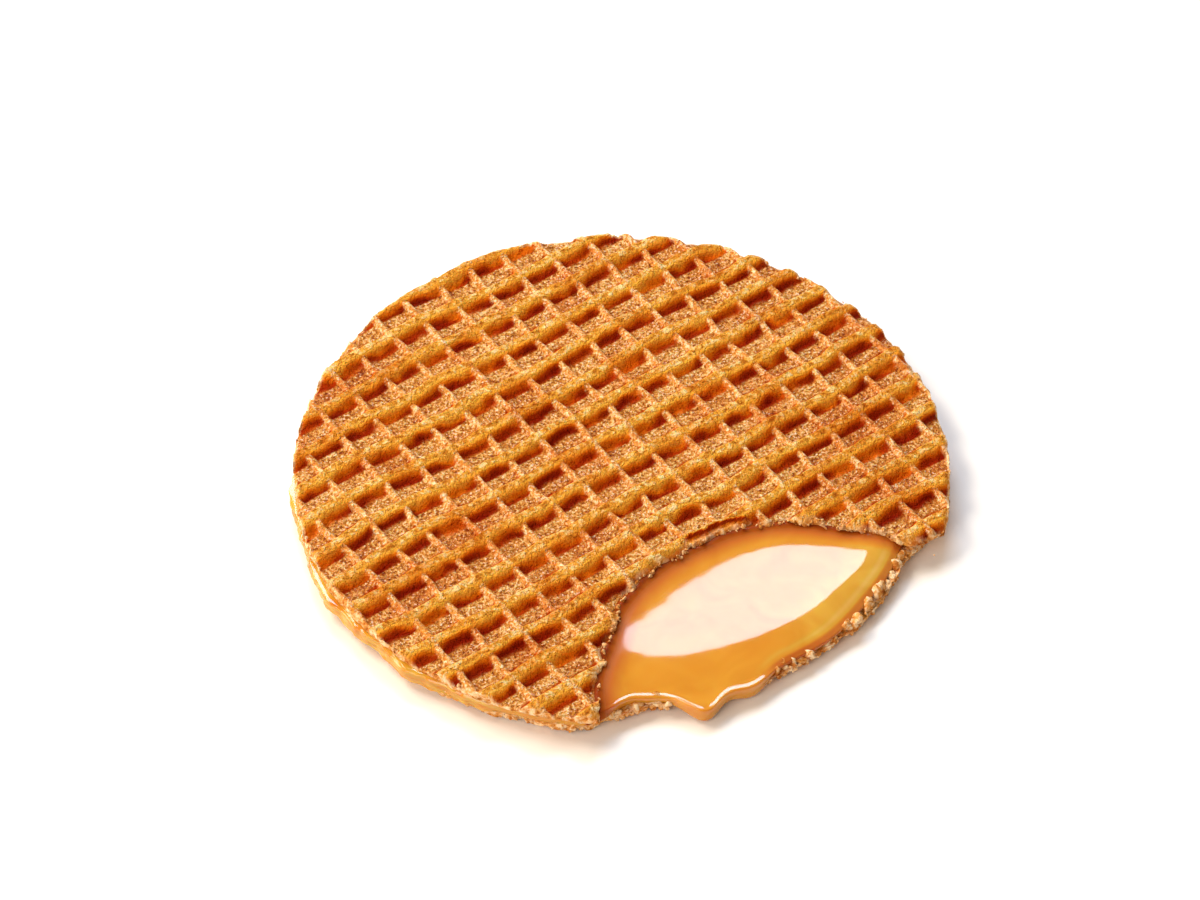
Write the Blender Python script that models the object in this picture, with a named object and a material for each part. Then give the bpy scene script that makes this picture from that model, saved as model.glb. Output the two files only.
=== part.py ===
"""A stroopwafel with one bite out of it: two thin waffle discs with a caramel filling between them.

Metres, +Z up. The origin is the middle of the underside, where the biscuit rests. The bite is taken
out of the upper wafer at the front right, between -Y and +X, and lays the caramel bare.
"""

import math
import random

import bmesh
import bpy
from mathutils import Matrix, Vector

# Driving dimensions
RADIUS = 0.045  # of the round cutter that stamps out both wafers
WAFER = 0.00165  # thickness of one wafer, ribs included
FILLING = 0.0009  # thickness of the caramel between the wafers
CLEARANCE = 0.0003  # kept between the caramel and each wafer

# Waffle pattern: ribs in two directions at right angles, with a sloping-sided pocket in each square
PITCH = 0.0055
RIB_ANGLE = math.radians(36.9)  # of the ribs that climb to the right, from +X
RIB_TOP = 0.0009  # flat width of a rib
POCKET_DEPTH = 0.0011
WALL_SLOPE = 1.05  # how far a pocket's wall leans out for each metre that it rises
POCKET_UNEVEN = 0.00012
IRON_WARP = 0.0003  # how far the pattern wanders from straight lines
IRON_WARP_LENGTH = 0.034
TOP_PHASE = (0.30, -0.44)  # the pocket nearest to the middle of the upper face, in pitches
UNDERSIDE_PHASE = (0.5, 0.5)  # two ribs cross in the middle of the underside
POCKET_PAST_RIM = 0.0012  # a pocket whose middle lies further out than this isn't printed

# Bite: a round bite centred on the rim, with a few tooth marks that reach further or less far
BITE_ANGLE = math.radians(-57.2)
BITE_RADIUS = 0.0274
BITE_RAGGED = 0.0006
TOOTH_MARKS = (
    # angle and half width in degrees round the bite's middle, depth
    (51.0, 3.2, 0.0080),
    (58.0, 8.0, 0.0015),
    (98.0, 14.0, 0.00075),
    (167.0, 7.0, -0.0009),
)

# Outlines, in degrees round from +X. The lower wafer stands back under the bite and on the left.
RIM_RAGGED = 0.0003
LOWER_INSET = 0.0003
LOWER_BACK = (
    # from, to, ramp, depth
    (-92.0, -13.0, 18.0, 0.0038),
    (-178.0, -136.0, 8.0, 0.0010),
)
FILLING_INSET = 0.0013
FILLING_OUT = (
    # from, to, ramp, depth: it stands back under the bite, and is squeezed out on the left
    (-92.0, -13.0, 10.0, -0.0036),
    (-180.0, -124.0, 8.0, 0.0015),
    (-124.0, -98.0, 8.0, 0.0007),
)
DRIPS = (
    # angle, half width in degrees, reach beyond the caramel's edge, height of its lower end
    (-74.5, 3.0, 0.0034, 0.0003),
    (-65.0, 3.4, 0.0016, 0.0006),
)
SQUEEZED_LOW = 0.0006  # height of the lower end of the caramel that is squeezed out
BITE_DOME = 0.00025  # how far the bare caramel swells above the filling's own level
BITE_FALL = 0.0006  # how far it falls from there to its edge
FALL_FROM = 0.72  # where that slope begins, as a share of the caramel's radius
EDGE_ROUND = 0.0005  # how far the caramel's edge bulges past its upper and lower face

RIM_POINTS = 120
BITE_POINTS = 110
FILLING_POINTS = 180
CUTTER_REACH = 0.002  # how far a cutter stands past what it cuts

# Levels
LOWER_TOP = WAFER
FILLING_LOW = LOWER_TOP + CLEARANCE
FILLING_TOP = FILLING_LOW + FILLING
UPPER_LOW = FILLING_TOP + CLEARANCE
UPPER_TOP = UPPER_LOW + WAFER

# Colours, as red, green and blue in sRGB
WAFER_COLOUR = "C98636"
CARAMEL_COLOUR = "D98A22"

BITE_CENTRE = RADIUS * Vector((math.cos(BITE_ANGLE), math.sin(BITE_ANGLE)))


def clear_scene():
    for obj in list(bpy.data.objects):
        bpy.data.objects.remove(obj)


def linear(colour):
    """The linear colour of six sRGB hex digits."""
    channels = [int(colour[i : i + 2], 16) / 255 for i in (0, 2, 4)]
    return [c / 12.92 if c <= 0.04045 else ((c + 0.055) / 1.055) ** 2.4 for c in channels] + [1]


def plain_material(name, colour, roughness):
    material = bpy.data.materials.new(name)
    material.use_nodes = True
    shader = material.node_tree.nodes["Principled BSDF"]
    shader.inputs["Base Color"].default_value = linear(colour)
    shader.inputs["Roughness"].default_value = roughness
    shader.inputs["Metallic"].default_value = 0
    return material


def make_object(name, bm, material=None):
    bmesh.ops.recalc_face_normals(bm, faces=bm.faces)
    mesh = bpy.data.meshes.new(name)
    bm.to_mesh(mesh)
    bm.free()
    obj = bpy.data.objects.new(name, mesh)
    bpy.context.collection.objects.link(obj)
    if material:
        mesh.materials.append(material)
    return obj


def cut(obj, cutter):
    """Cuts the closed mesh cutter out of obj. The cutter stays in the file, hidden."""
    cutter.hide_render = True
    cutter.display_type = "WIRE"
    modifier = obj.modifiers.new(cutter.name, "BOOLEAN")
    modifier.operation = "DIFFERENCE"
    modifier.solver = "EXACT"
    modifier.object = cutter


def smooth(obj, crease=30):
    obj.data.shade_smooth()
    obj.data.set_sharp_from_angle(angle=math.radians(crease))


def waves(seed, amount, orders):
    """A function of the angle that wavers by up to the amount, with one wave of each order."""
    chance = random.Random(seed)
    phases = [(order, chance.uniform(0, math.tau)) for order in orders]

    def waver(angle):
        return amount * sum(math.cos(order * angle + phase) for order, phase in phases) / len(phases)

    return waver


def stretch(angle, start, end, ramp):
    """1 between two angles in degrees and 0 away from them, with a soft ramp across each."""
    turn = (math.degrees(angle) - start + ramp) % 360 - ramp
    rise = min(1, max(0, turn / ramp + 0.5))
    fall = min(1, max(0, (end - start - turn) / ramp + 0.5))
    share = min(rise, fall)
    return share * share * (3 - 2 * share)


def bump(angle, middle, half_width):
    """A bell of height 1 at the middle angle, in degrees."""
    off = (math.degrees(angle) - middle + 180) % 360 - 180
    return math.exp(-0.5 * (off / half_width) ** 2)


upper_ragged = waves(3, RIM_RAGGED, (3, 5, 8, 13, 21, 34))
lower_ragged = waves(4, RIM_RAGGED * 1.6, (3, 4, 7, 12, 19, 31))
bite_ragged = waves(5, BITE_RAGGED, (6, 11, 17, 26, 39))
filling_ragged = waves(6, RIM_RAGGED, (4, 7, 11, 18))


def upper_radius(angle):
    return RADIUS + upper_ragged(angle)


def lower_radius(angle):
    back = sum(depth * stretch(angle, *where) for *where, depth in LOWER_BACK)
    return RADIUS - LOWER_INSET - back + lower_ragged(angle)


def filling_radius(angle):
    out = sum(depth * stretch(angle, *where) for *where, depth in FILLING_OUT)
    drips = sum(reach * bump(angle, middle, half) for middle, half, reach, _ in DRIPS)
    return RADIUS - FILLING_INSET + out + drips + filling_ragged(angle)


def filling_low(angle):
    """Height of the lower end of the caramel where it hangs past the lower wafer's rim."""
    low = LOWER_TOP - (LOWER_TOP - SQUEEZED_LOW) * stretch(angle, *FILLING_OUT[1][:3])
    for middle, half, _, end in DRIPS:
        low -= (LOWER_TOP - end) * bump(angle, middle, half)
    return max(low, DRIPS[0][3])


def filling_top(angle, out):
    """Height of the caramel's upper face; out is 0 in the middle and 1 at its edge."""
    fall = BITE_FALL * max(0, (out - FALL_FROM) / (1 - FALL_FROM)) ** 2
    return FILLING_TOP + BITE_DOME - fall * stretch(angle, *FILLING_OUT[0][:3])


def bite_radius(angle):
    marks = sum(depth * bump(angle, middle, half) for middle, half, depth in TOOTH_MARKS)
    return BITE_RADIUS + bite_ragged(angle) + marks


def prism(name, radius, points, low, high, centre=(0, 0), grow=0.0, material=None):
    """A straight-sided solid whose outline is a radius for each angle round its centre."""
    bm = bmesh.new()
    ring = []
    for i in range(points):
        angle = math.tau * i / points
        reach = radius(angle) + grow
        ring.append(
            bm.verts.new((centre[0] + reach * math.cos(angle), centre[1] + reach * math.sin(angle), low))
        )
    foot = bm.faces.new(ring)
    made = bmesh.ops.extrude_face_region(bm, geom=[foot])
    raised = [v for v in made["geom"] if isinstance(v, bmesh.types.BMVert)]
    bmesh.ops.translate(bm, verts=raised, vec=(0, 0, high - low))
    return make_object(name, bm, material)


def bite_cutter(name, grow=0.0):
    low, high = UPPER_LOW - CUTTER_REACH, UPPER_TOP + CUTTER_REACH
    return prism(name, bite_radius, BITE_POINTS, low, high, BITE_CENTRE, grow)


def warped(point):
    """The place on the wafer of a point of the straight lattice, as the worn iron prints it."""
    x, y = (math.tau * c / IRON_WARP_LENGTH for c in point)
    wander = Vector((math.sin(y + 0.6 * math.sin(x)), math.sin(x + 1.1 + 0.7 * math.cos(y))))
    return point + IRON_WARP * wander


def outset(corners, distance):
    """A flat convex outline, moved outwards by a distance with its sides kept parallel."""
    moved = []
    for i, corner in enumerate(corners):
        before = (corner - corners[i - 1]).normalized()
        after = (corners[(i + 1) % len(corners)] - corner).normalized()
        sides = [Vector((along.y, -along.x)) for along in (before, after)]
        moved.append(corner + (sides[0] + sides[1]) * distance / (1 + sides[0].dot(sides[1])))
    return moved


def pocket_cutter(name, phase, face, inward, skip=None):
    """Every pocket of one face, as a tapered block that stands out of the face at height `face`.

    inward is -1 where the pockets go down into the wafer and 1 where they go up.
    """
    chance = random.Random(name)
    turn = Matrix.Rotation(RIB_ANGLE, 2)
    floor_half = (PITCH - RIB_TOP) / 2 - WALL_SLOPE * POCKET_DEPTH
    rise = POCKET_DEPTH + CLEARANCE
    reach = math.ceil(RADIUS / PITCH) + 1
    bm = bmesh.new()
    for i in range(-reach, reach + 1):
        for j in range(-reach, reach + 1):
            middle = Vector(((i + phase[0]) * PITCH, (j + phase[1]) * PITCH))
            left, right, near, far = (
                floor_half + chance.uniform(-POCKET_UNEVEN, POCKET_UNEVEN) for _ in range(4)
            )
            place = turn @ middle
            if place.length > RADIUS + POCKET_PAST_RIM or (skip and skip(place)):
                continue
            corners = ((-left, -near), (right, -near), (right, far), (-left, far))
            floor = [warped(turn @ (middle + Vector(corner))) for corner in corners]
            opening = outset(floor, WALL_SLOPE * rise)
            deep = [bm.verts.new((*p, face + inward * POCKET_DEPTH)) for p in floor]
            high = [bm.verts.new((*p, face - inward * CLEARANCE)) for p in opening]
            bm.faces.new(deep)
            bm.faces.new(high)
            for k in range(4):
                following = (k + 1) % 4
                bm.faces.new((deep[k], deep[following], high[following], high[k]))
    return make_object(name, bm)


def inside_bite(place):
    return (place - BITE_CENTRE).length < BITE_RADIUS - PITCH


def make_lower_wafer(material):
    wafer = prism("wafer_lower", lower_radius, RIM_POINTS, 0, LOWER_TOP, material=material)
    cut(wafer, pocket_cutter("lower_pockets", UNDERSIDE_PHASE, 0, 1))
    return wafer


def make_upper_wafer(material):
    wafer = prism("wafer_upper", upper_radius, RIM_POINTS, UPPER_LOW, UPPER_TOP, material=material)
    cut(wafer, bite_cutter("bite"))
    cut(wafer, pocket_cutter("upper_pockets", TOP_PHASE, UPPER_TOP, -1, inside_bite))
    return wafer


def make_filling(material):
    """The caramel: a round cake of it, pressed flat between the wafers and free in the bite."""
    bm = bmesh.new()
    # Each ring is a share of the caramel's radius, a step in from its edge and a height.
    rings = []
    for out, step, height in (
        (0.80, 0.0, "low"),
        (1.00, EDGE_ROUND, "low"),
        (1.00, 0.0, "side"),
        (1.00, EDGE_ROUND, "top"),
        (0.95, 0.0, "top"),
        (0.89, 0.0, "top"),
        (0.82, 0.0, "top"),
        (FALL_FROM, 0.0, "top"),
        (0.50, 0.0, "top"),
    ):
        ring = []
        for i in range(FILLING_POINTS):
            angle = math.tau * i / FILLING_POINTS
            reach = out * filling_radius(angle) - step
            top = filling_top(angle, out)
            low = filling_low(angle) if out > 0.9 else LOWER_TOP
            z = {"low": low, "side": (low + top) / 2, "top": top}[height]
            ring.append(bm.verts.new((reach * math.cos(angle), reach * math.sin(angle), z)))
        rings.append(ring)
    for inner, outer in zip(rings, rings[1:]):
        for i in range(FILLING_POINTS):
            following = (i + 1) % FILLING_POINTS
            bm.faces.new((inner[i], inner[following], outer[following], outer[i]))
    bm.faces.new(rings[0])
    bm.faces.new(rings[-1])
    filling = make_object("filling", bm, material)

    below = prism(
        "room_for_lower_wafer", lower_radius, RIM_POINTS, -CUTTER_REACH, FILLING_LOW, grow=CLEARANCE
    )
    above = prism(
        "room_for_upper_wafer", upper_radius, RIM_POINTS, FILLING_TOP, UPPER_TOP, grow=CLEARANCE
    )
    cut(above, bite_cutter("room_for_bite", grow=-CLEARANCE))
    cut(filling, below)
    cut(filling, above)
    return filling


def main():
    clear_scene()
    wafer = plain_material("wafer", WAFER_COLOUR, 0.6)
    caramel = plain_material("caramel", CARAMEL_COLOUR, 0.15)
    for obj in (make_lower_wafer(wafer), make_filling(caramel), make_upper_wafer(wafer)):
        smooth(obj)


main()
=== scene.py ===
"""The looks of a bitten stroopwafel: two baked waffle discs with caramel between them.

Metres, +Z up. The biscuit lies on its underside with the bite at the front right.
"""

import math
import random

import bpy
import numpy as np
from mathutils import Matrix, Vector


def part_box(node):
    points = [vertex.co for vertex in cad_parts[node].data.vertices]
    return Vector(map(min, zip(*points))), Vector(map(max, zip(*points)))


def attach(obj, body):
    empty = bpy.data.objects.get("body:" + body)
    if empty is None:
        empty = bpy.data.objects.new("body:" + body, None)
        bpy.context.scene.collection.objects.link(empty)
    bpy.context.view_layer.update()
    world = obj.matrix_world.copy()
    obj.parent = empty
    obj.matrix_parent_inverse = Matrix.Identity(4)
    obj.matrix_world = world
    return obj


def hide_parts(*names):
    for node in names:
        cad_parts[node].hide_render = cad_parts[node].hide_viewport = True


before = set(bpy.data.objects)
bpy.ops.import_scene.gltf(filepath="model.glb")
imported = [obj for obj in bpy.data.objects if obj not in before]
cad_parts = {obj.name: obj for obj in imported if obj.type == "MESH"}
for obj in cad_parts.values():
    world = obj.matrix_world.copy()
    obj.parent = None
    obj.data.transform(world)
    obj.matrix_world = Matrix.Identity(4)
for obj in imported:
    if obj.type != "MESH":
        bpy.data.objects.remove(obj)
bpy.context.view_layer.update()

MM = 0.001

# Sizes that the frame gives
RADIUS = (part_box("wafer_upper")[1].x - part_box("wafer_upper")[0].x) / 2
LOWER_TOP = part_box("wafer_lower")[1].z
UPPER_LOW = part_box("wafer_upper")[0].z
UPPER_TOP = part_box("wafer_upper")[1].z

# The waffle iron
PITCH = 5.5 * MM
RIB_ANGLE = math.radians(36.9)
POCKET_DEPTH = 1.15 * MM
# Ribs that run right and back, and the lower, rougher ones across them: where the slope starts and
# ends, towards the bite and away from it, height as a share of the depth, and how much it wavers.
LONG_RIB = {"near": (0.90 * MM, 2.30 * MM), "far": (0.15 * MM, 1.10 * MM), "height": 0.92, "waver": 0.17}
CROSS_RIB = {"near": (-0.05 * MM, 0.90 * MM), "far": (0.35 * MM, 1.20 * MM), "height": 0.80, "waver": 0.24}
IRON_WARP = 0.3 * MM
IRON_WARP_LENGTH = 34 * MM
TOP_PHASE = (0.30, -0.44)
UNDERSIDE_PHASE = (0.5, 0.5)
QUADS_A_SQUARE = 20

# The bite
BITE_ANGLE = math.radians(-57.2)
BITE_CENTRE = RADIUS * Vector((math.cos(BITE_ANGLE), math.sin(BITE_ANGLE)))
BITE_RADIUS = 27.4 * MM
BITE_RAGGED = 0.6 * MM
# Tooth marks: angle and half width in degrees round the bite's middle, depth
TOOTH_MARKS = ((51, 3.2, 8.0 * MM), (58, 8, 1.5 * MM), (98, 14, 0.75 * MM), (167, 7, -0.9 * MM))

# The flake torn off the bite's far side: from and to in degrees round the bite's middle, ramp in
# degrees, how far in it reaches and how deep it was torn
FLAKE = (103, 124, 6)
FLAKE_REACH = 1.5 * MM
FLAKE_DEPTH = 0.80 * MM

# Outlines: from and to in degrees round from +X, ramp in degrees, depth
RIM_RAGGED = 0.3 * MM
LOWER_INSET = 0.3 * MM
LOWER_BACK = ((-92, -13, 18, 3.8 * MM), (-178, -136, 8, 1.0 * MM))
CARAMEL_INSET = 1.3 * MM
CARAMEL_OUT = (
    (-92, -13, 10, -3.6 * MM),
    (-180, -112, 10, 1.35 * MM),
    (-112, -90, 8, 1.0 * MM),
)


# ---------------------------------------------------------------- small tools


def deselect():
    if bpy.context.object and bpy.context.object.mode != "OBJECT":
        bpy.ops.object.mode_set(mode="OBJECT")
    bpy.ops.object.select_all(action="DESELECT")


def edit(kind, faces=None, edges=None):
    """Enters edit mode to work on vertices, edges or faces, with only the given ones selected."""
    mesh = bpy.context.object.data
    bpy.context.tool_settings.mesh_select_mode = [kind == k for k in ("VERT", "EDGE", "FACE")]
    for elements, chosen in ((mesh.vertices, None), (mesh.edges, edges), (mesh.polygons, faces)):
        flags = np.zeros(len(elements), bool)
        if chosen is not None:
            flags[: len(chosen)] = chosen
        elements.foreach_set("select", flags)
    bpy.ops.object.mode_set(mode="EDIT")


def done():
    bpy.ops.object.mode_set(mode="OBJECT")


def started(name):
    """The primitive that was just added, under its own name."""
    obj = bpy.context.object
    obj.name = name
    obj.data.name = name
    return obj


def read_points(obj):
    points = np.empty(len(obj.data.vertices) * 3)
    obj.data.vertices.foreach_get("co", points)
    return points.reshape(-1, 3)


def write_points(obj, points):
    obj.data.vertices.foreach_set("co", np.ascontiguousarray(points, dtype=np.float32).ravel())
    obj.data.update()


def write_attribute(obj, name, values):
    """A number for each vertex, which the materials read."""
    attribute = obj.data.attributes.new(name, "FLOAT", "POINT")
    attribute.data.foreach_set("value", np.ascontiguousarray(values, dtype=np.float32))


def scrambled(whole):
    """A number from -1 to 1 for each whole number, with no pattern between neighbours."""
    mix = (whole * 1103515245 + 12345) & 0x7FFFFFFF
    mix = ((mix ^ (mix >> 15)) * 2246822519) & 0x7FFFFFFF
    mix = ((mix ^ (mix >> 13)) * 3266489917) & 0x7FFFFFFF
    return (mix ^ (mix >> 16)) / 0x3FFFFFFF - 1


def grain(points, size, seed=0):
    """Smooth noise with lumps of about that size, from -1 to 1, at each point."""
    places = np.asarray(points) / size + 17.3 * seed
    cell = np.floor(places).astype(np.int64)
    part = places - cell
    ease = part**3 * (part * (part * 6 - 15) + 10)
    total = np.zeros(len(places))
    for corner in np.ndindex(2, 2, 2):
        knot = (cell + corner) @ np.array((73856093, 19349663, 83492791))
        slope = np.column_stack([scrambled(knot + 7919 * axis) for axis in range(3)])
        weight = np.prod(np.where(corner, ease, 1 - ease), axis=1)
        total += weight * ((part - corner) * slope).sum(axis=1)
    return 1.6 * total


def ramp(low, high, values):
    """0 below low, 1 above high and a smooth step between."""
    t = np.clip((np.asarray(values) - low) / (high - low), 0, 1)
    return t * t * (3 - 2 * t)


def waves(seed, amount, orders):
    chance = random.Random(seed)
    phases = [(order, chance.uniform(0, math.tau)) for order in orders]

    def waver(angle):
        return amount * sum(np.cos(order * angle + phase) for order, phase in phases) / len(phases)

    return waver


def stretch(angle, start, end, soft):
    """1 between two angles in degrees and 0 away from them, with a soft ramp across each."""
    turn = (np.degrees(angle) - start + soft) % 360 - soft
    share = np.minimum(turn / soft + 0.5, (end - start - turn) / soft + 0.5)
    share = np.clip(share, 0, 1)
    return share * share * (3 - 2 * share)


def bell(angle, middle, half_width):
    off = (np.degrees(angle) - middle + 180) % 360 - 180
    return np.exp(-0.5 * (off / half_width) ** 2)


# ---------------------------------------------------------------- outlines

upper_ragged = waves(3, RIM_RAGGED, (3, 5, 8, 13, 21, 34))
lower_ragged = waves(4, RIM_RAGGED * 1.6, (3, 4, 7, 12, 19, 31))
bite_ragged = waves(5, BITE_RAGGED, (6, 11, 17, 26, 39))
caramel_ragged = waves(6, RIM_RAGGED, (4, 7, 11, 18))


def crumbly_edge(radius, lumps, seed):
    """A broken edge round a circle: how far it lies out at each angle, from lumps of (size, depth)."""
    turn = np.linspace(-math.pi, math.pi, 6000, endpoint=False)
    ring = np.column_stack([radius * np.cos(turn), radius * np.sin(turn), np.zeros(len(turn))])
    out = sum(depth * grain(ring, size, seed + size / MM) for size, depth in lumps)

    def broken(angle):
        return np.interp(angle, turn, out, period=math.tau)

    return broken


upper_crumbs = crumbly_edge(RADIUS, ((1.6 * MM, 0.14 * MM), (0.6 * MM, 0.09 * MM)), 40)
lower_crumbs = crumbly_edge(RADIUS, ((2.2 * MM, 0.30 * MM), (0.8 * MM, 0.20 * MM)), 50)
bite_crumbs = crumbly_edge(BITE_RADIUS, ((2.6 * MM, 0.45 * MM), (0.9 * MM, 0.28 * MM)), 11)


def upper_radius(angle):
    return RADIUS + upper_ragged(angle)


def lower_radius(angle):
    back = sum(depth * stretch(angle, *where) for *where, depth in LOWER_BACK)
    return RADIUS - LOWER_INSET - back + lower_ragged(angle)


def bite_radius(angle):
    marks = sum(depth * bell(angle, middle, half) for middle, half, depth in TOOTH_MARKS)
    return BITE_RADIUS + bite_ragged(angle) + marks


def torn_flake(points):
    """1 where the flake was torn off, and how far in from the bite each point lies, as a share of it."""
    away = points[:, :2] - np.array(BITE_CENTRE)
    ledge = stretch(np.arctan2(away[:, 1], away[:, 0]), *FLAKE)
    into, _ = outside_bite(points)
    return ledge, -into / (FLAKE_REACH * np.maximum(ledge, 0.05))


def outside_rim(points, radius, crumbs):
    """How far each point lies outside a wafer's rim, and the way out from the middle."""
    reach = np.linalg.norm(points[:, :2], axis=1)
    angle = np.arctan2(points[:, 1], points[:, 0])
    out = points[:, :2] / np.maximum(reach, 1e-9)[:, None]
    return reach - radius(angle) - crumbs(angle), out


def outside_bite(points, crumble=1.0):
    """How far each point lies inside the bite, and the way into it."""
    away = points[:, :2] - np.array(BITE_CENTRE)
    reach = np.linalg.norm(away, axis=1)
    angle = np.arctan2(away[:, 1], away[:, 0])
    out = away / np.maximum(reach, 1e-9)[:, None]
    return bite_radius(angle) + crumble * bite_crumbs(angle) - reach, -out


# ---------------------------------------------------------------- materials


def linear(colour):
    """The linear colour of six sRGB hex digits."""
    channels = [int(colour[i : i + 2], 16) / 255 for i in (0, 2, 4)]
    return (*(c / 12.92 if c <= 0.04045 else ((c + 0.055) / 1.055) ** 2.4 for c in channels), 1)


def add(material, kind, inputs=(), **settings):
    """Adds a node. An input is a value, or an output of another node that is linked to it."""
    tree = material.node_tree
    node = tree.nodes.new(kind)
    for name, value in settings.items():
        setattr(node, name, value)
    for key, value in dict(inputs).items():
        socket = node.inputs[key]
        if isinstance(value, bpy.types.NodeSocket):
            tree.links.new(value, socket)
        else:
            socket.default_value = value
    return node


def new_material(name):
    material = bpy.data.materials.new(name)
    material.use_nodes = True
    material.node_tree.nodes.clear()
    return material


def colour_ramp(material, factor, stops):
    """A ramp of sRGB colours at places from 0 to 1."""
    node = add(material, "ShaderNodeValToRGB", {"Fac": factor})
    elements = node.color_ramp.elements
    elements[0].position, elements[0].color = stops[0][0], linear(stops[0][1])
    elements[1].position, elements[1].color = stops[-1][0], linear(stops[-1][1])
    for place, colour in stops[1:-1]:
        elements.new(place).color = linear(colour)
    return node.outputs["Color"]


def mixed(material, factor, first, second, blend="MIX"):
    node = add(material, "ShaderNodeMix", data_type="RGBA", blend_type=blend)
    tree = material.node_tree
    for socket, value in ((node.inputs[0], factor), (node.inputs[6], first), (node.inputs[7], second)):
        if isinstance(value, bpy.types.NodeSocket):
            tree.links.new(value, socket)
        else:
            socket.default_value = value
    return node.outputs[2]


def baked_wafer():
    """Thin waffle of wheat, butter and sugar, pressed in a hot iron.

    The eye sees golden ribs and a sugary tan floor in each pocket. The walls facing the bite turn a deep
    red-orange, partly the crust's own colour and partly painted shade, darkest at their foot. The far side of each
    lower rib is darkened as painted shade, and cut or broken places show pale crumb.
    """
    m = new_material("baked_wafer")
    place = add(m, "ShaderNodeTexCoord").outputs["Object"]
    long, brown_and_painted_shade, cross, far_side_painted_shade, crumb = (
        add(m, "ShaderNodeAttribute", attribute_name=name).outputs["Fac"]
        for name in ("long", "brown_and_painted_shade", "cross", "far_side_painted_shade", "crumb")
    )

    def clouds(size, detail=3.0, rough=0.55, distort=0.0):
        inputs = {"Vector": place, "Scale": 1 / size, "Detail": detail, "Roughness": rough,
                  "Distortion": distort}
        return add(m, "ShaderNodeTexNoise", inputs).outputs["Fac"]

    def between(value, low, high, start=0.0, end=1.0):
        inputs = {"Value": value, "From Min": low, "From Max": high, "To Min": start, "To Max": end}
        return add(m, "ShaderNodeMapRange", inputs, interpolation_type="SMOOTHSTEP").outputs["Result"]

    baking = clouds(7 * MM)
    grains = clouds(0.40 * MM, 2.0, 0.7)
    flecks = clouds(1.1 * MM, 3.0, 0.7, 0.5)
    sugar = clouds(0.34 * MM, 1.0, 0.5)

    crust = mixed(m, 0.38, grains, flecks)
    floor = colour_ramp(m, crust, ((0.36, "7E3208"), (0.5, "CE8830"), (0.62, "FAD494")))
    rough = colour_ramp(m, crust, ((0.36, "BE681C"), (0.5, "EAA048"), (0.60, "FFE0AC")))
    colour = mixed(m, between(cross, 0.15, 0.60), floor, rough)
    # Painted shade: the far side of each cross rib, which faces away from the key light, darkens towards this
    # colour.
    shaded = colour_ramp(m, crust, ((0.36, "8C3804"), (0.5, "D47E20"), (0.63, "FCBC6C")))
    colour = mixed(m, between(far_side_painted_shade, 0.0, 1.0, 0.0, 0.6), colour, shaded)
    gold = colour_ramp(m, flecks, ((0.34, "B86A1A"), (0.5, "F0AA3E"), (0.64, "FFE09C")))
    # The near side of the long ribs goes from gold through deeper orange to the deep red-brown of painted shade at
    # the foot.
    toffee_and_painted_shade = colour_ramp(m, brown_and_painted_shade, ((0.0, "FFC24C"), (0.25, "FFB23A"), (0.42, "F08010"), (0.66, "B43C02"),
                                    (0.95, "881A00")))
    long_rib = mixed(m, between(brown_and_painted_shade, 0.0, 0.25), gold, toffee_and_painted_shade)
    colour = mixed(m, long, colour, long_rib)
    toned = colour_ramp(m, baking, ((0.34, "ECC8A4"), (0.50, "FFFAF4"), (0.60, "FFFFFF")))
    colour = mixed(m, 1.0, colour, toned, "MULTIPLY")
    bare = add(m, "ShaderNodeMath", {0: between(sugar, 0.56, 0.66), 1: between(grains, 0.46, 0.54, 0.0, 0.7)},
               operation="MULTIPLY").outputs[0]
    bare = add(m, "ShaderNodeMath", {0: bare, 1: between(long, 0.1, 0.5, 1.0, 0.0)},
               operation="MULTIPLY").outputs[0]
    colour = mixed(m, bare, colour, linear("FFE2C4"))
    broken = colour_ramp(m, flecks, ((0.32, "B45C1C"), (0.46, "E6A050"), (0.61, "FDE0B4")))
    colour = mixed(m, crumb, colour, broken)

    lumps = add(m, "ShaderNodeBump", {"Height": flecks, "Strength": between(crumb, 0.0, 1.0, 1.0, 0.35),
                                      "Distance": 0.8 * MM})
    relief_of_grains = add(m, "ShaderNodeMath", {0: grains, 1: between(brown_and_painted_shade, 0.0, 0.5, 1.0, 0.45)},
                           operation="MULTIPLY").outputs[0]
    fine = add(m, "ShaderNodeBump", {"Height": relief_of_grains, "Distance": 0.9 * MM,
                                     "Strength": between(crumb, 0.0, 1.0, 1.0, 0.30),
                                     "Normal": lumps.outputs[0]})
    smooth_or_broken = add(m, "ShaderNodeMath", {0: long, 1: crumb}, operation="MAXIMUM").outputs[0]
    shader = add(m, "ShaderNodeBsdfPrincipled",
                 {"Base Color": colour, "Roughness": between(grains, 0.35, 0.65, 0.28, 0.60),
                  "Normal": fine.outputs[0], "IOR": 1.47, "Specular IOR Level": between(smooth_or_broken, 0.0, 0.6, 0.12, 0.02),
                  "Subsurface Weight": between(crumb, 0.0, 0.6, 0.25, 0.0),
                  "Subsurface Radius": (1.0, 0.30, 0.06), "Subsurface Scale": 0.9 * MM})
    add(m, "ShaderNodeOutputMaterial", {"Surface": shader.outputs[0]})
    return m


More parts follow.
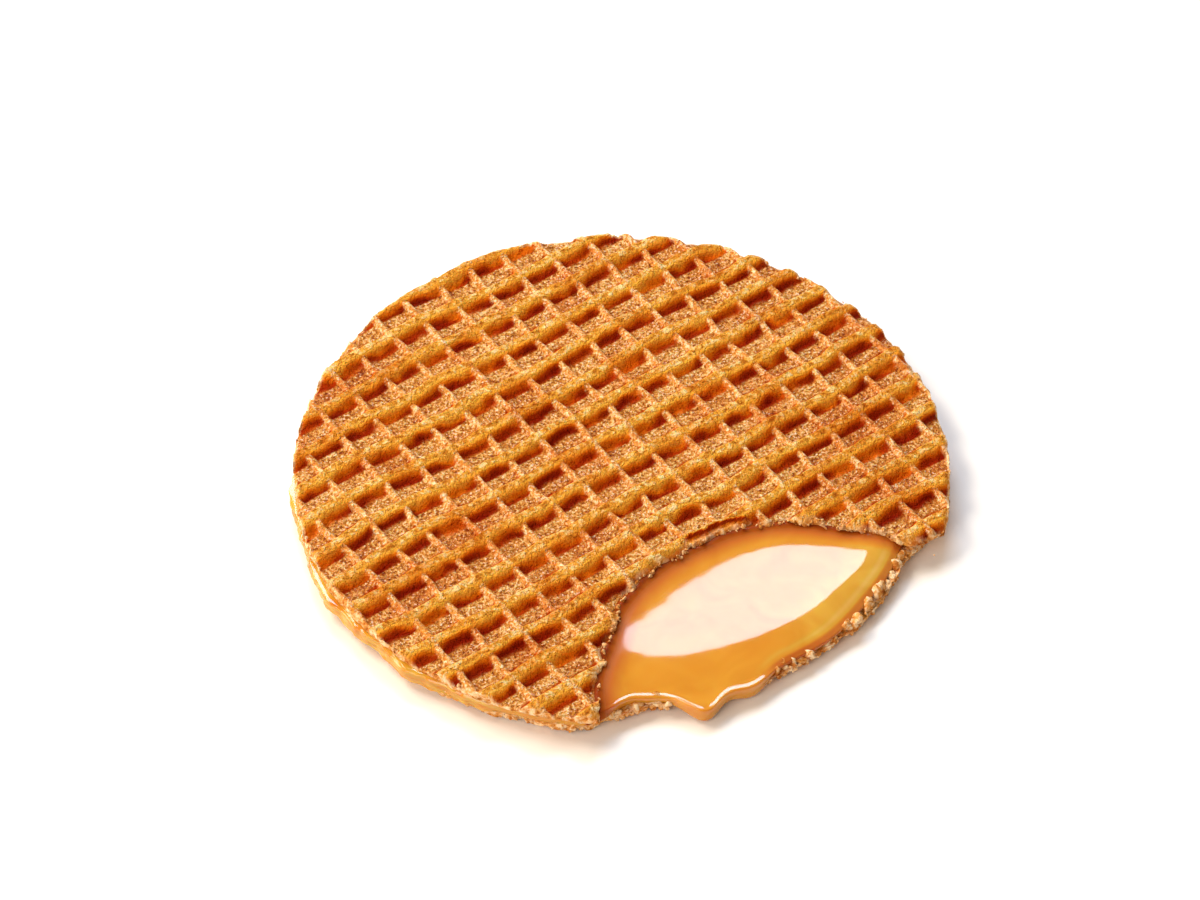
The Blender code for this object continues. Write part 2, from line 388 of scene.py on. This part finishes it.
def soft_caramel():
    """Cooked sugar syrup with butter: thick, sticky, glossy and a little see-through."""
    m = new_material("soft_caramel")
    place = add(m, "ShaderNodeTexCoord").outputs["Object"]
    shade = add(m, "ShaderNodeAttribute", attribute_name="shade").outputs["Fac"]
    swirl = add(m, "ShaderNodeTexNoise",
                {"Vector": place, "Scale": 1 / (7 * MM), "Detail": 2.0, "Distortion": 1.2}).outputs["Fac"]
    # This attribute runs from 0, pale and thin, through 0.5, golden, to 1, deep brown. The deep brown is painted
    # shade beside the bitten wafer and along the right edge.
    gold = colour_ramp(m, shade, ((0.0, "F4D088"), (0.36, "D8AC40"), (0.5, "D8972A"), (0.75, "C87226"), (1.0, "8E3C0C")))
    veil = colour_ramp(m, swirl, ((0.3, "F4E4C8"), (0.7, "FFFFFF")))
    colour = mixed(m, 1.0, gold, veil, "MULTIPLY")
    # Against the wafer it is dull with fine crumb.
    crumbed, gloss = (
        add(m, "ShaderNodeMapRange", {"Value": shade, "From Min": 0.72, "From Max": 0.9,
                                      "To Min": bare, "To Max": dusted}).outputs["Result"]
        for bare, dusted in ((0.06, 0.35), (0.5, 0.02))
    )
    coat = add(m, "ShaderNodeMath", {0: gloss, 1: 0.5}, operation="MULTIPLY").outputs[0]
    shader = add(m, "ShaderNodeBsdfPrincipled",
                 {"Base Color": colour, "Roughness": crumbed, "IOR": 1.5, "Specular IOR Level": gloss,
                  "Subsurface Weight": 0.6, "Subsurface Radius": (1.0, 0.40, 0.08),
                  "Subsurface Scale": 1.5 * MM, "Coat Weight": coat, "Coat Roughness": 0.04})
    add(m, "ShaderNodeOutputMaterial", {"Surface": shader.outputs[0]})
    return m


# ---------------------------------------------------------------- wafers


def rib(lattice, axis, shape, seed):
    """Height from 0 to 1 of the ribs across one axis of the lattice, and how far off each point is.

    The distance is below zero on the near side.
    """
    line = np.round(lattice[:, axis])
    spot = np.column_stack([line * 3.7 + seed, lattice[:, 1 - axis], np.full(len(line), 9.1 * axis)])
    wander = MM / PITCH * (0.50 * grain(spot, 1.3, seed) + 0.20 * grain(spot, 0.4, seed + 9))
    width = 1 + 0.16 * grain(spot, 0.9, seed + 5)
    off = (lattice[:, axis] - line - wander) * PITCH / width
    height = shape["height"] + shape["waver"] * grain(spot, 0.8, seed + 3)
    drop = np.where(off < 0, ramp(*shape["near"], -off), ramp(*shape["far"], off))
    return np.clip(height, 0.2, 1.0) * (1 - drop), off


def relief(lattice, seed):
    """Height of the printed pattern, 0 on a floor and 1 on a rib, and what the eye tells apart on it.

    "long" is 1 on the smooth long ribs and reaches past their near wall onto the floor. "brown_and_painted_shade"
    runs down their near side from gold through the crust's deeper orange to painted shade at the foot, with
    painted shadow on the floor in front. "cross" is the share of rough, sugary rib, and "far_side_painted_shade"
    is the share of its far side, darkened as painted shade.
    """
    long, off = rib(lattice, 1, LONG_RIB, seed)
    cross, side = rib(lattice, 0, CROSS_RIB, seed + 11)
    soft = 0.12
    total = (long + cross + np.sqrt((long - cross) ** 2 + soft**2) - soft) / 2
    spot = np.column_stack([lattice, np.full(len(lattice), 0.5)])
    baked = 1.0 + 0.90 * grain(spot, 0.8, seed + 15)
    foot = 1 + 0.30 * grain(spot, 0.45, seed + 17)
    # On the near side the long rib's colours reach past the wall's foot onto the floor, where they paint the rib's
    # cast shadow.
    near = 1 - ramp(2.40 * MM, 3.65 * MM, -off * foot)
    far = 1 - ramp(0.75 * MM, 1.15 * MM, off * foot)
    # On the near side, which faces away from the key light, gold turns to a deeper orange on the shoulder and from
    # there to a deep red-brown at the foot. This is the crust's colour with painted shade over it, darkest at the
    # foot and on the floor just in front, where the rib's shadow is painted.
    shoulder = ramp(0.45 * MM, 1.05 * MM, -off * foot)
    painted_shade_at_foot = np.clip(baked, 0.50, 1.25) * ramp(1.05 * MM, 2.30 * MM, -off * foot)
    behind = 0.75 * ramp(0.35 * MM, 0.60 * MM, off)
    crest = np.exp(-(((side - 0.15 * MM) / (0.55 * MM)) ** 2)) * ramp(-0.15, 0.10, cross - long)
    at_crossing = np.exp(-((side / (0.7 * MM)) ** 2)) * np.exp(-((off / (0.6 * MM)) ** 2))
    looks = {
        "long": np.where(off < 0, near, far) * (1 - ramp(0.25, 0.70, crest)),
        "brown_and_painted_shade": np.clip(0.25 * shoulder + 0.62 * painted_shade_at_foot + behind, 0, 1) * (1 - 0.8 * at_crossing),
        "cross": np.maximum(ramp(0.10, 0.75, crest), at_crossing),
        # Painted shade on the far side of the cross ribs.
        "far_side_painted_shade": ramp(0.5 * MM, 0.8 * MM, side) * (1 - ramp(1.0 * MM, 1.8 * MM, side)),
    }
    return total, looks


def warped(flat):
    x, y = (math.tau * flat[:, i] / IRON_WARP_LENGTH for i in (0, 1))
    moved = flat.copy()
    moved[:, 0] += IRON_WARP * np.sin(y + 0.6 * np.sin(x))
    moved[:, 1] += IRON_WARP * np.sin(x + 1.1 + 0.7 * np.cos(y))
    return moved


def make_wafer(name, phase, face, back, outside, seed, material):
    """A waffle disc. Its ribs reach the height `face`, and its plain side lies at `back`."""
    across = QUADS_A_SQUARE
    squares = 2 * (math.ceil(RADIUS / PITCH) + 1)
    deselect()
    bpy.ops.mesh.primitive_grid_add(
        x_subdivisions=squares * across, y_subdivisions=squares * across, size=squares
    )
    wafer = started(name)

    # Lattice lines are whole numbers on the ribs.
    points = read_points(wafer)
    lattice = points[:, :2].copy()
    turn = np.array(Matrix.Rotation(RIB_ANGLE, 2))
    flat = ((lattice + np.array(phase) - 0.5) * PITCH) @ turn.T
    flat = warped(flat)
    rise, looks = relief(lattice, seed)
    points[:, :2] = flat
    points[:, 2] = 0

    # What lies past the outline goes, and the last points are drawn back to it.
    past, way = outside(points)
    mesh = wafer.data
    corners = np.empty(len(mesh.polygons) * 4, np.int32)
    mesh.polygons.foreach_get("vertices", corners)
    gone = (past[corners.reshape(-1, 4)] > 0).all(axis=1)
    for _ in range(3):
        over = np.maximum(past, 0)
        points[:, :2] -= way * over[:, None]
        past, way = outside(points)
    write_points(wafer, points)
    write_attribute(wafer, "rise", rise)
    for kind, values in looks.items():
        write_attribute(wafer, kind, values)
    edit("FACE", faces=gone)
    bpy.ops.mesh.delete(type="FACE")
    done()

    up = 1 if face > back else -1
    points = read_points(wafer)
    rise = np.empty(len(points), np.float32)
    mesh.attributes["rise"].data.foreach_get("value", rise)
    edge = -outside(points)[0]
    lumps = 0.06 * MM * grain(points, 1.5 * MM, seed + 20) + 0.035 * MM * grain(points, 0.7 * MM, seed + 21)
    swell = 0.05 * MM * grain(points, 14 * MM, seed + 22)
    torn = 1 - ramp(0, 0.8 * MM, -outside_bite(points)[0] - edge)
    rounded = 0.30 * MM * (1 - ramp(0, 0.55 * MM, edge)) + 0.45 * MM * torn * (1 - ramp(0, 1.5 * MM, edge))
    depth = (1 - rise) * POCKET_DEPTH + rounded - lumps - swell
    ledge, reach = torn_flake(points)
    depth = np.maximum(depth, FLAKE_DEPTH * ledge * (1 - ramp(0.75, 1.0, reach)) * (up > 0))
    points[:, 2] = np.maximum(face - up * depth, 0)
    write_points(wafer, points)
    printed = len(points)

    # The side: the outline drawn across the thickness, cut into strips and roughened.
    edit("EDGE")
    bpy.ops.mesh.select_all(action="SELECT")
    bpy.ops.mesh.region_to_loop()
    bpy.ops.mesh.extrude_region_move(TRANSFORM_OT_translate={"value": (0, 0, -up * POCKET_DEPTH)})
    done()
    points = read_points(wafer)
    points[printed:, 2] = back
    write_points(wafer, points)
    ends = np.empty(len(mesh.edges) * 2, np.int32)
    mesh.edges.foreach_get("vertices", ends)
    new_ends = (ends.reshape(-1, 2) >= printed).sum(axis=1)
    edit("EDGE", edges=new_ends == 2)
    bpy.ops.mesh.edge_face_add()
    done()
    edit("EDGE", edges=new_ends == 1)
    bpy.ops.mesh.subdivide(number_cuts=5)
    bpy.ops.mesh.select_all(action="SELECT")
    bpy.ops.mesh.normals_make_consistent(inside=False)
    done()

    points = read_points(wafer)
    side = np.arange(len(points)) >= printed
    past, way = outside(points)
    level = np.abs(points[:, 2] - back) / abs(face - back)
    crumble = 0.30 * MM * grain(points, 0.75 * MM, seed + 30) + 0.30 * MM * grain(points, 1.7 * MM, seed + 31)
    inward = (0.12 * MM - crumble) * side * ramp(0, 0.15, level)
    points[:, :2] -= way * inward[:, None]
    write_points(wafer, points)
    # The wall of the bite faces away from the light. It gets less pale crumb colour than the dry rim, which makes
    # it browner as painted shade, and it is torn further in.
    bitten = ramp(-1.6 * MM, -0.9 * MM, outside_bite(points)[0])
    torn_in = (0.35 + 0.9 * bitten) * MM * (1 + 0.5 * grain(points, 1.3 * MM, seed + 33))
    write_attribute(wafer, "crumb", (1 - 0.4 * bitten) * np.maximum(side, 1 - ramp(0.3, 1.0, -past / torn_in)))
    # Under the flake the wafer is toffee brown. Painted shade makes it darkest on the step where the flake broke
    # off, which faces away from the light.
    if up > 0:
        ledge, reach = torn_flake(points)
        under = ledge * ramp(0.30, 0.50, reach) * (1 - ramp(1.0, 1.15, reach))
        for kind, least in (("long", under), ("brown_and_painted_shade", under * (0.40 + 0.50 * ramp(0.70, 0.90, reach)))):
            values = np.empty(len(points), np.float32)
            mesh.attributes[kind].data.foreach_get("value", values)
            mesh.attributes[kind].data.foreach_set("value", np.maximum(values, least).astype(np.float32))
    bpy.ops.object.shade_smooth()
    mesh.materials.append(material)
    return wafer


def upper_outline(points):
    past, way = outside_rim(points, upper_radius, upper_crumbs)
    bitten, into = outside_bite(points)
    inside = bitten > past
    return np.where(inside, bitten, past), np.where(inside[:, None], into, way)


def lower_outline(points):
    return outside_rim(points, lower_radius, lower_crumbs)


# ---------------------------------------------------------------- caramel

DRIPS = (
    # angle, half width in degrees, reach beyond the caramel's edge, height of its lower end
    (-74.5, 3.0, 3.4 * MM, 0.3 * MM),
    (-65.0, 3.4, 1.6 * MM, 0.4 * MM),
)
SQUEEZED_LOW = 1.35 * MM
# Beads of squeezed caramel: angle, half width in degrees, reach
BEADS = ((-172, 3, 0.6 * MM), (-151, 5, 0.9 * MM), (-139, 2.5, 0.5 * MM), (-128, 4, 0.9 * MM), (-115, 3, 0.5 * MM))
TURNS = 960
EDGE_ROUND = 0.28 * MM
BARE_TOP = 3.06 * MM
# The slope down to the front: at each angle, how far in it starts and how deep it gets, in mm.
FALL_ANGLES = (-92, -80, -62, -45, -28, -15)
FALL_WIDTHS = (8.6, 7.6, 6.6, 5.6, 4.2, 3.6)
DRIP_SLOPE = 0.055
FALL_DEPTHS = (0.36, 0.40, 0.55, 0.85, 0.95, 0.95)
# The climb to the bitten wafer: at each angle round the bite, its height and length in mm.
CLIMB_ANGLES = (45, 75, 105, 125, 165, 200)
CLIMB_HEIGHTS = (0.30, 0.32, 0.54, 0.60, 0.58, 0.60)
CLIMB_LENGTHS = (1.3, 1.4, 2.0, 2.3, 2.5, 2.6)
# The swollen lip: from and to in degrees, ramp in degrees, height.
LIPS = ((-91, -75.5, 2.2, 0.085 * MM), (-73.4, -62.5, 2.5, 0.085 * MM))
GROOVES = ((1.1, 0.014, 0.22), (2.3, 0.012, 0.3))


def caramel_radius(angle):
    """Radius of the caramel without its drips, and with them."""
    out = sum(depth * stretch(angle, *where) for *where, depth in CARAMEL_OUT)
    drips = sum(reach * bell(angle, middle, half) for middle, half, reach, _ in DRIPS)
    beads = sum(reach * bell(angle, middle, half) for middle, half, reach in BEADS)
    plain = RADIUS - CARAMEL_INSET + out + beads + caramel_ragged(angle)
    return plain, plain + drips


def climb(points):
    """Height and length of the caramel's climb to the wafer, and how far off the wafer each point is."""
    away = points[:, :2] - np.array(BITE_CENTRE)
    turn = np.degrees(np.arctan2(away[:, 1], away[:, 0])) % 360
    height, length = (MM * np.interp(turn, CLIMB_ANGLES, t) for t in (CLIMB_HEIGHTS, CLIMB_LENGTHS))
    smooth_radius = bite_radius(np.radians(turn)) - bite_ragged(np.radians(turn))
    return height, length, smooth_radius - np.linalg.norm(away, axis=1)


def caramel_top(points, angle, radius):
    """Height of the upper face: pressed flat under the wafer, bare and falling to the front."""
    into_bite, _ = outside_bite(points, 0)
    bare = stretch(angle, *CARAMEL_OUT[0][:3])
    height, length, off_wafer = climb(points)
    rise = height * np.exp(-np.clip(off_wafer, 0, None) / length)
    plain, edge = caramel_radius(angle)
    turn = np.degrees(angle)
    width = MM * np.interp(turn, FALL_ANGLES, FALL_WIDTHS)
    depth = MM * np.interp(turn, FALL_ANGLES, FALL_DEPTHS)
    fall = depth * np.clip(1 - (plain - radius) / width, 0, 1) ** 2
    fall = fall + DRIP_SLOPE * np.clip(radius - plain, 0, None)
    from_edge = (edge - radius) / MM
    lip = sum(height * stretch(angle, *where) for *where, height in LIPS)
    lip = lip * np.exp(-(((from_edge - 0.42) / 0.30) ** 2))
    right = stretch(angle, -56, -14, 14)
    for place, height, half in GROOVES:
        lip = lip + height * MM * right * np.exp(-(((from_edge - place) / half) ** 2))
    waver = 0.012 * MM * grain(points, 7 * MM, 60) + 0.003 * MM * grain(points, 1.6 * MM, 63)
    open_top = BARE_TOP + rise + waver + bare * (lip - fall)
    pressed = 1 - ramp(-1.2 * MM, 0, into_bite)
    return open_top + (UPPER_LOW + 0.05 * MM - open_top) * pressed, into_bite


def make_caramel(material):
    """A tube of rings; each ring is drawn to its place in the caramel's profile, top to bottom."""
    # Places in the profile as a share of the upper face's radius and a level, 1 there and 0 below.
    reach = 43.8
    tops = [12, 15, *np.arange(17, 38, 0.5), *np.arange(38, 43.8, 0.16), reach]
    sides = 12
    profile = [(r / reach, 1.0) for r in tops]
    profile += [(1.0, 0.5 + 0.5 * math.cos(math.pi * k / sides)) for k in range(1, sides + 1)]
    profile += [(0.97, 0.0), (0.93, 0.0), (0.3, 0.0)]
    deselect()
    bpy.ops.mesh.primitive_cylinder_add(vertices=TURNS, radius=1, depth=1)
    caramel = started("caramel")
    height = read_points(caramel)[:, 2]
    ends = np.empty(len(caramel.data.edges) * 2, np.int32)
    caramel.data.edges.foreach_get("vertices", ends)
    drop = np.ptp(height[ends.reshape(-1, 2)], axis=1)
    edit("EDGE", edges=drop > 0.5)
    bpy.ops.mesh.subdivide(number_cuts=len(profile) - 2)
    bpy.ops.mesh.select_all(action="SELECT")
    bpy.ops.mesh.normals_make_consistent(inside=False)
    done()

    points = read_points(caramel)
    angle = np.arctan2(points[:, 1], points[:, 0])
    ring = np.round((0.5 - points[:, 2]) * (len(profile) - 1)).astype(int)
    share, level = np.array(profile)[ring].T
    _, edge = caramel_radius(angle)
    # The side swells outwards half way up.
    swollen = np.sqrt(np.clip(1 - (2 * level - 1) ** 2, 0, 1))
    radius = share * (edge - EDGE_ROUND) + EDGE_ROUND * swollen
    points[:, 0] = radius * np.cos(angle)
    points[:, 1] = radius * np.sin(angle)
    points[:, 2] = 0
    squeezed = stretch(angle, *CARAMEL_OUT[1][:3])
    top, into_bite = caramel_top(points, angle, np.minimum(radius, edge - EDGE_ROUND))
    low = LOWER_TOP - 0.05 * MM - (LOWER_TOP - SQUEEZED_LOW) * squeezed
    for middle, half, _, end in DRIPS:
        low = low - (LOWER_TOP - end) * bell(angle, middle, half)
    low = np.where(share > 0.95, np.maximum(low, 0.2 * MM), LOWER_TOP - 0.05 * MM)
    points[:, 2] = low + (top - low) * level
    # Where it was squeezed out it hangs in soft lumps and threads.
    lumps = 0.36 * MM * grain(points, 2.6 * MM, 61) + 0.20 * MM * grain(points, 1.1 * MM, 62)
    strand = points[:, 2] / (0.7 * MM) + 1.1 * grain(points * (1, 1, 0), 7 * MM, 64)
    lumps = lumps + 0.16 * MM * np.cos(math.tau * strand)
    swell = 1 + (lumps * squeezed * ramp(0.96, 1.0, share)) / RADIUS
    points[:, :2] *= swell[:, None]
    write_points(caramel, points)

    # Painted shade: the caramel is brown beside the bitten wafer, darkest against it, where the wafer shades it.
    # It is paler where it is thin.
    _, length, off_wafer = climb(points)
    brown_and_painted_shade = (into_bite > -2 * MM) * (1 - np.clip(off_wafer / (1.4 * length), 0, 1))
    streaks = grain(np.column_stack([points[:, :2] / 5, points[:, 2]]), 0.45 * MM, 65)
    thin = (0.10 + 0.26 * streaks) * squeezed * ramp(0.9, 1.0, share) + 0.12 * stretch(angle, -48, -5, 20) * ramp(0.8, 0.9, share)
    from_edge = (edge - radius) / MM
    # On the right, painted shade darkens a band along the caramel's outer edge, and a painted highlight lightens a
    # line just inside it.
    painted_edge_shade_and_highlight = stretch(angle, -60, -20, 10) * (
        0.32 * (1 - ramp(0.7, 1.2, from_edge)) - 0.12 * np.exp(-(((from_edge - 1.8) / 0.4) ** 2))
    )
    write_attribute(caramel, "shade", 0.5 + 0.5 * brown_and_painted_shade - thin + painted_edge_shade_and_highlight)
    bpy.ops.object.shade_smooth()
    caramel.data.materials.append(material)
    return caramel


# ---------------------------------------------------------------- crumbs


def crumb_shapes():
    """A few broken lumps of wafer, about 1 across, to be copied and scaled to their true size."""
    shapes = []
    for kind in range(6):
        deselect()
        bpy.ops.mesh.primitive_ico_sphere_add(subdivisions=2, radius=0.5)
        lump = started(f"crumb_{kind}")
        points = read_points(lump)
        away = points / np.linalg.norm(points, axis=1)[:, None]
        points += away * (0.22 * grain(points, 0.45, 70 + kind) + 0.10 * grain(points, 0.2, 80 + kind))[:, None]
        points *= np.array(((1.0, 0.8, 0.6), (1.3, 0.7, 0.5), (0.9, 0.9, 0.8))[kind % 3])
        write_points(lump, points)
        shapes.append(lump)
    return shapes


def make_crumbs(material):
    """Loose and half-loose crumbs along the bite and round both rims."""
    chance = random.Random(21)
    shapes = crumb_shapes()
    places = []

    def strew(count, place, low, high):
        for _ in range(count):
            size = low + (high - low) * chance.random() ** 2.2
            places.append((place(size), size))

    def on_bite(size):
        turn = BITE_ANGLE + math.pi + math.radians(chance.uniform(-66, 66))
        out = float(bite_radius(turn) + bite_crumbs(turn)) + chance.uniform(0, 0.4) * size
        spot = BITE_CENTRE + out * Vector((math.cos(turn), math.sin(turn)))
        return Vector((*spot, chance.uniform(UPPER_LOW + 0.1 * MM, UPPER_TOP - 0.35 * MM)))

    def on_rim(radius, edge, low, high, start, end, sunk):
        def place(size):
            turn = math.radians(chance.uniform(start, end))
            while max(bell(turn, middle, half) for middle, half, *_ in DRIPS) > 0.2:
                turn = math.radians(chance.uniform(start, end))
            out = float(radius(turn) + edge(turn)) - sunk * size
            level = max(chance.uniform(low, high), 0.75 * size)
            return Vector((out * math.cos(turn), out * math.sin(turn), level))

        return place

    strew(150, on_bite, 0.30 * MM, 0.90 * MM)
    front = (-135, -16)
    strew(240, on_rim(lower_radius, lower_crumbs, 0.2 * MM, 1.6 * MM, *front, 0.42), 0.9 * MM, 2.4 * MM)
    strew(200, on_rim(lower_radius, lower_crumbs, 0.2 * MM, LOWER_TOP, -20, 225, 0.50), 0.4 * MM, 1.2 * MM)
    upper = (UPPER_LOW + 0.1 * MM, UPPER_TOP - 0.7 * MM)
    strew(90, on_rim(upper_radius, upper_crumbs, *upper, -20, 266, 0.6), 0.25 * MM, 0.7 * MM)

    copies = []
    for spot, size in places:
        copy = chance.choice(shapes).copy()
        copy.data = copy.data.copy()
        copy.location = spot
        copy.rotation_euler = [chance.uniform(0, math.tau) for _ in range(3)]
        copy.scale = (size, size, size)
        bpy.context.scene.collection.objects.link(copy)
        copies.append(copy)
    deselect()
    for copy in copies:
        copy.select_set(True)
    bpy.context.view_layer.objects.active = copies[0]
    bpy.ops.object.join()
    bpy.ops.object.transform_apply()
    crumbs = started("crumbs")
    for shape in shapes:
        bpy.data.objects.remove(shape)
    points = read_points(crumbs)
    at_bite = (outside_bite(points)[0] > -1.2 * MM) & (points[:, 2] > LOWER_TOP + MM)
    write_attribute(crumbs, "crumb", np.where(at_bite, 0.6, 1.0))
    bpy.ops.object.shade_smooth()
    crumbs.data.materials.append(material)
    return crumbs


# ---------------------------------------------------------------- stage, light and camera


def make_floor():
    m = new_material("white_table")
    speckle = add(m, "ShaderNodeTexNoise", {"Scale": 40.0})
    colour = colour_ramp(m, speckle.outputs["Fac"], ((0.3, "FBFAF9"), (0.7, "FDFCFB")))
    shader = add(m, "ShaderNodeBsdfPrincipled", {"Base Color": colour, "Roughness": 0.7})
    add(m, "ShaderNodeOutputMaterial", {"Surface": shader.outputs[0]})
    deselect()
    bpy.ops.mesh.primitive_plane_add(size=6, location=(0, 0, 0))
    floor = started("floor")
    floor.data.materials.append(m)


def area_light(name, azimuth, elevation, distance, width, height, power, colour="FFFFFF"):
    """A softbox that faces the biscuit. Azimuth is counted from +X, anticlockwise."""
    lamp = bpy.data.lights.new(name, "AREA")
    lamp.shape = "RECTANGLE"
    lamp.size, lamp.size_y = width, height
    lamp.energy = power
    lamp.color = linear(colour)[:3]
    obj = bpy.data.objects.new(name, lamp)
    a, e = math.radians(azimuth), math.radians(elevation)
    way = Vector((math.cos(a) * math.cos(e), math.sin(a) * math.cos(e), math.sin(e)))
    obj.location = way * distance
    obj.rotation_euler = way.to_track_quat("Z", "Y").to_euler()
    obj.visible_camera = False
    bpy.context.scene.collection.objects.link(obj)


def make_light():
    """Soft daylight from the back left, and a bright card straight behind that the caramel mirrors."""
    world = bpy.data.worlds.new("studio")
    bpy.context.scene.world = world
    world.use_nodes = True
    world.node_tree.nodes.clear()
    # The room behind is white to the eye, and its light is warm and dim.
    seen = add(world, "ShaderNodeLightPath").outputs["Is Camera Ray"]
    colour = mixed(world, seen, linear("FFE8D2"), linear("FFFFFF"))
    strength = add(world, "ShaderNodeMapRange", {"Value": seen, "To Min": 0.34, "To Max": 1.0})
    glow = add(world, "ShaderNodeBackground", {"Color": colour, "Strength": strength.outputs["Result"]})
    add(world, "ShaderNodeOutputWorld", {"Surface": glow.outputs[0]})
    area_light("key", 150, 44, 0.9, 0.45, 0.40, 7.0, "FFF2E0")
    area_light("back_card", 96, 43, 0.9, 0.49, 0.35, 5.8, "D2E8FF")
    area_light("left_card", 186, 22, 0.9, 0.30, 0.20, 1.2, "FFF8EE")
    area_light("front_fill", -130, 32, 1.0, 0.60, 0.50, 4.6, "FFEEDC")
    bpy.context.scene.view_settings.view_transform = "Standard"


CAMERA_ELEVATION = math.radians(47.46)
CAMERA_ROLL = math.radians(0.63)
CAMERA_DISTANCE = 0.6165
LENS_MM = 135


def make_camera():
    """A long lens, aimed a little left of and above the middle of the upper face."""
    camera = bpy.data.objects.new("camera", bpy.data.cameras.new("camera"))
    camera.data.lens = LENS_MM
    camera.data.sensor_width = 36
    camera.data.clip_start, camera.data.clip_end = 0.01, 20
    back = Vector((0, -math.cos(CAMERA_ELEVATION), math.sin(CAMERA_ELEVATION)))
    right = Vector((1, 0, 0))
    up = back.cross(right)
    middle = Vector((0, 0, UPPER_TOP))
    camera.location = middle + back * CAMERA_DISTANCE
    aim = middle - right * 3.1 * MM + up * 1.62 * MM
    look = (camera.location - aim).to_track_quat("Z", "Y")
    camera.rotation_mode = "QUATERNION"
    camera.rotation_quaternion = look @ Matrix.Rotation(CAMERA_ROLL, 4, "Z").to_quaternion()
    bpy.context.scene.collection.objects.link(camera)
    bpy.context.scene.camera = camera


wafer_material = baked_wafer()
upper = make_wafer("wafer_upper_baked", TOP_PHASE, UPPER_TOP, UPPER_LOW, upper_outline, 1, wafer_material)
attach(upper, "root")
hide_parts("wafer_upper")
lower = make_wafer("wafer_lower_baked", UNDERSIDE_PHASE, 0, LOWER_TOP, lower_outline, 2, wafer_material)
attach(lower, "root")
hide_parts("wafer_lower")
caramel = make_caramel(soft_caramel())
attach(caramel, "root")
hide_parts("filling")
crumbs = make_crumbs(wafer_material)
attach(crumbs, "root")
make_floor()
make_light()
make_camera()

bpy.context.view_layer.update()
